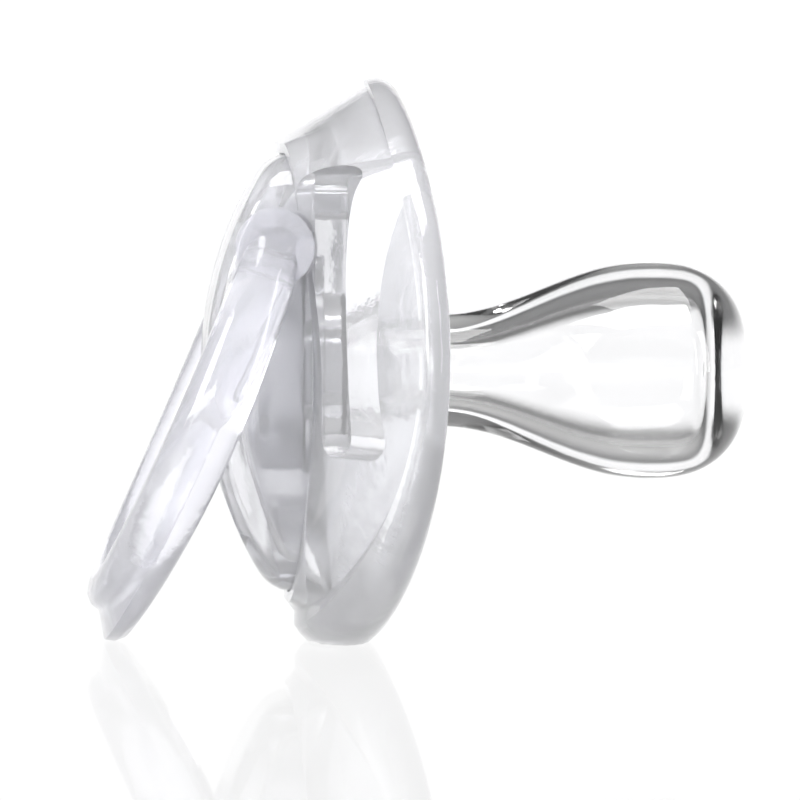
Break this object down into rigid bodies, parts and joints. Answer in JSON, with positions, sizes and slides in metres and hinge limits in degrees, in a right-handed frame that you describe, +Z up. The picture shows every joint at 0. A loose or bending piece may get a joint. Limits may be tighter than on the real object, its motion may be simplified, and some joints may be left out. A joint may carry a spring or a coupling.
{
  "type": "pacifier",
  "caption": "Clear pacifier with a hollow bulb teat, a dished oval shield with curved vent slots, a domed knob behind it and a ring handle that swings from the knob's sides.",
  "frame": {"origin": "on the surface the pacifier stands on, under the middle of its bounding box", "axes": "+X forward along the teat, +Z up, +Y to the side along the ring's hinge line"},
  "size_m": [0.0492, 0.052, 0.0418],
  "materials": {
    "clear_plastic": "clear, polished",
    "handle_plastic": "clear with a faint lilac cast, polished",
    "clear_silicone": "clear, soft, smooth"
  },
  "bodies": {
    "body": {"shield": "clear_plastic", "teat": "clear_silicone", "retaining_plug": "clear_plastic", "knob": "clear_plastic"},
    "ring": {"ring_handle": "handle_plastic"}
  },
  "joints": [
    {"name": "ring_swing", "type": "hinge", "parent": "body", "child": "ring", "pos_m": [-0.01101, 0, 0.02945], "axis": [0, 1, 0], "range_deg": [-20, 150]}
  ]
}
